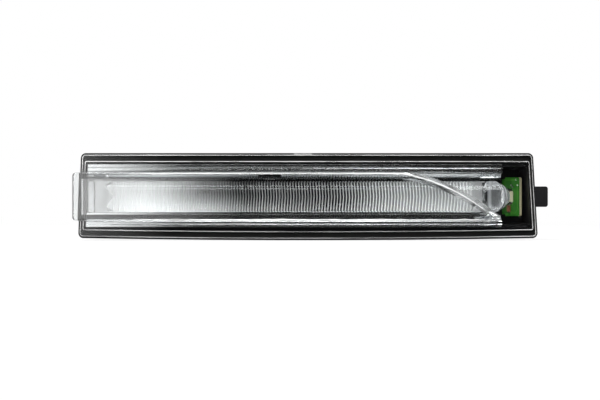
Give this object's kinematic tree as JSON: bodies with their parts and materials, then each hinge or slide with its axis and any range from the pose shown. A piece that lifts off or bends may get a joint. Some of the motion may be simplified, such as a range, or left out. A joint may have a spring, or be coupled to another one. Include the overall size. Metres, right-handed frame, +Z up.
{
  "type": "front indicator lamp",
  "caption": "Slim car front indicator lamp: clear lens with a swept raised window, toothed light guide lit by one LED, black rear housing with socket and screw bosses.",
  "frame": {"origin": "midway between the two rear fixing bosses, on the plane of their end faces", "axes": "+X along the lamp towards the end tab, +Y out of the back, +Z up; the lens faces -Y"},
  "size_m": [0.1994, 0.0469, 0.0366],
  "materials": {
    "black_plastic": "satin",
    "clear_lens": "polished",
    "seal_compound": "matte",
    "silvered_plastic": "polished",
    "clear_guide": "polished",
    "green_board": "satin",
    "cream_package": "satin",
    "amber_emitter": "gloss",
    "solder": "gloss",
    "brown_chip": "satin",
    "black_chip": "satin",
    "capacitor_can": "satin",
    "tinned_brass": "satin",
    "white_membrane": "matte",
    "black_rubber": "matte"
  },
  "bodies": {
    "root": {"rear_housing": "black_plastic", "outer_lens": "clear_lens", "lens_seal": "seal_compound", "reflector": "silvered_plastic", "light_guide": "clear_guide", "circuit_board": "green_board", "led_package": "cream_package", "led_emitter": "amber_emitter", "led_solder": "solder", "dropper_resistor": "brown_chip", "ballast_resistors": "black_chip", "reverse_diode": "black_chip", "filter_capacitor": "capacitor_can", "terminal_upper": "tinned_brass", "terminal_lower": "tinned_brass", "terminal_solder": "solder", "breather_membrane": "white_membrane", "breather_cap": "black_rubber"}
  },
  "joints": []
}
